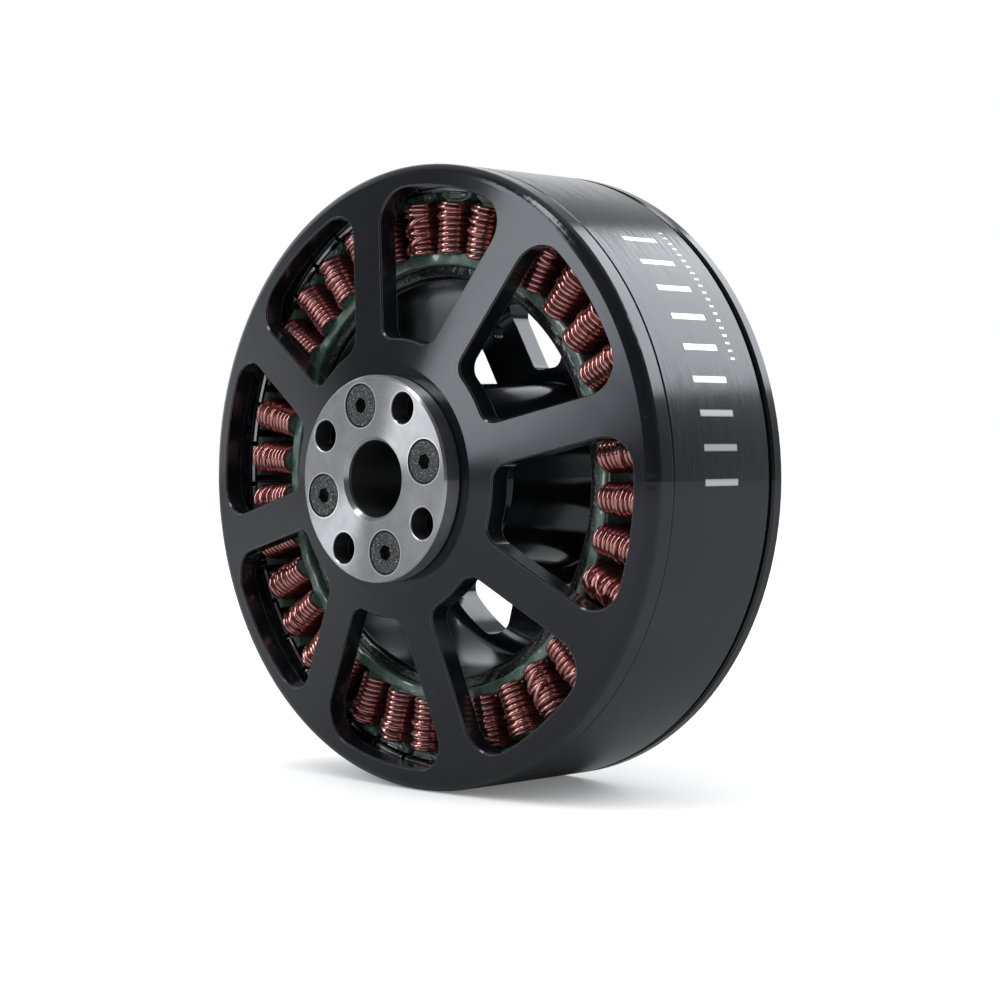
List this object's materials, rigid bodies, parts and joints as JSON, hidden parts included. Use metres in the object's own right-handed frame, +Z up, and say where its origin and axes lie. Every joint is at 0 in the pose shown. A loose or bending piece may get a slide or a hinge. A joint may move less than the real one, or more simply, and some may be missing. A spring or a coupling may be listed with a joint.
{
  "type": "brushless outrunner motor",
  "caption": "Disc-shaped brushless outrunner motor: spoked bell and can turn round a wound stator; propeller flange in front, spoked mounting base behind.",
  "frame": {"origin": "on the motor's axis, in the plane of the base's rear mounting face", "axes": "The motor's axis lies along Y: -Y points to the propeller side and +Y to what the motor is bolted to. +Z is up and +X is to the right when the flange is seen from the front."},
  "size_m": [0.121, 0.0409, 0.088],
  "materials": {
    "bell": "black anodised, satin",
    "can": "black, fine turned grain",
    "can_end": "black anodised, satin",
    "magnet": "nickel plated",
    "hub": "turned, satin",
    "screw": "black oxide",
    "base": "black anodised, satin",
    "core": "green epoxy coating",
    "glue": "glossy black adhesive",
    "winding": "enamelled copper wire",
    "bearing_steel": "ground",
    "spring_steel": "black oxide",
    "lead": "black silicone",
    "plug": "gold plated",
    "ball_steel": "polished",
    "cage": "moulded nylon"
  },
  "bodies": {
    "stator": {"base_housing": "base", "stator_core": "core", "glue_bead": "glue", "phase_a_coils": "winding", "phase_b_coils": "winding", "phase_c_coils": "winding", "preload_washer": "spring_steel", "phase_a_lead": "lead", "phase_b_lead": "lead", "phase_c_lead": "lead", "lead_plugs": "plug", "front_bearing_outer_ring": "bearing_steel", "front_bearing_shields": "bearing_steel", "rear_bearing_outer_ring": "bearing_steel", "rear_bearing_shields": "bearing_steel"},
    "rotor": {"front_bell": "bell", "flux_ring": "can", "rear_ring": "can_end", "magnets_north": "magnet", "magnets_south": "magnet", "hub_shaft": "hub", "flange_screws": "screw", "hub_spacer": "bearing_steel", "rear_shim": "bearing_steel", "shaft_circlip": "spring_steel", "front_bearing_inner_ring": "bearing_steel", "rear_bearing_inner_ring": "bearing_steel"},
    "front_ball_set": {"front_bearing_balls": "ball_steel", "front_bearing_cage": "cage"},
    "rear_ball_set": {"rear_bearing_balls": "ball_steel", "rear_bearing_cage": "cage"}
  },
  "joints": [
    {"name": "rotor_spin", "type": "hinge", "parent": "stator", "child": "rotor", "pos_m": [0, 0, 0], "axis": [0, -1, 0], "continuous": true},
    {"name": "front_balls_orbit", "type": "hinge", "parent": "stator", "child": "front_ball_set", "pos_m": [0, -0.0243, 0], "axis": [0, -1, 0], "continuous": true},
    {"name": "rear_balls_orbit", "type": "hinge", "parent": "stator", "child": "rear_ball_set", "pos_m": [0, -0.0043, 0], "axis": [0, -1, 0], "continuous": true}
  ],
  "couplings": [
    {"joint": "front_balls_orbit", "follows": "rotor_spin", "ratio": 0.439},
    {"joint": "rear_balls_orbit", "follows": "rotor_spin", "ratio": 0.439}
  ]
}
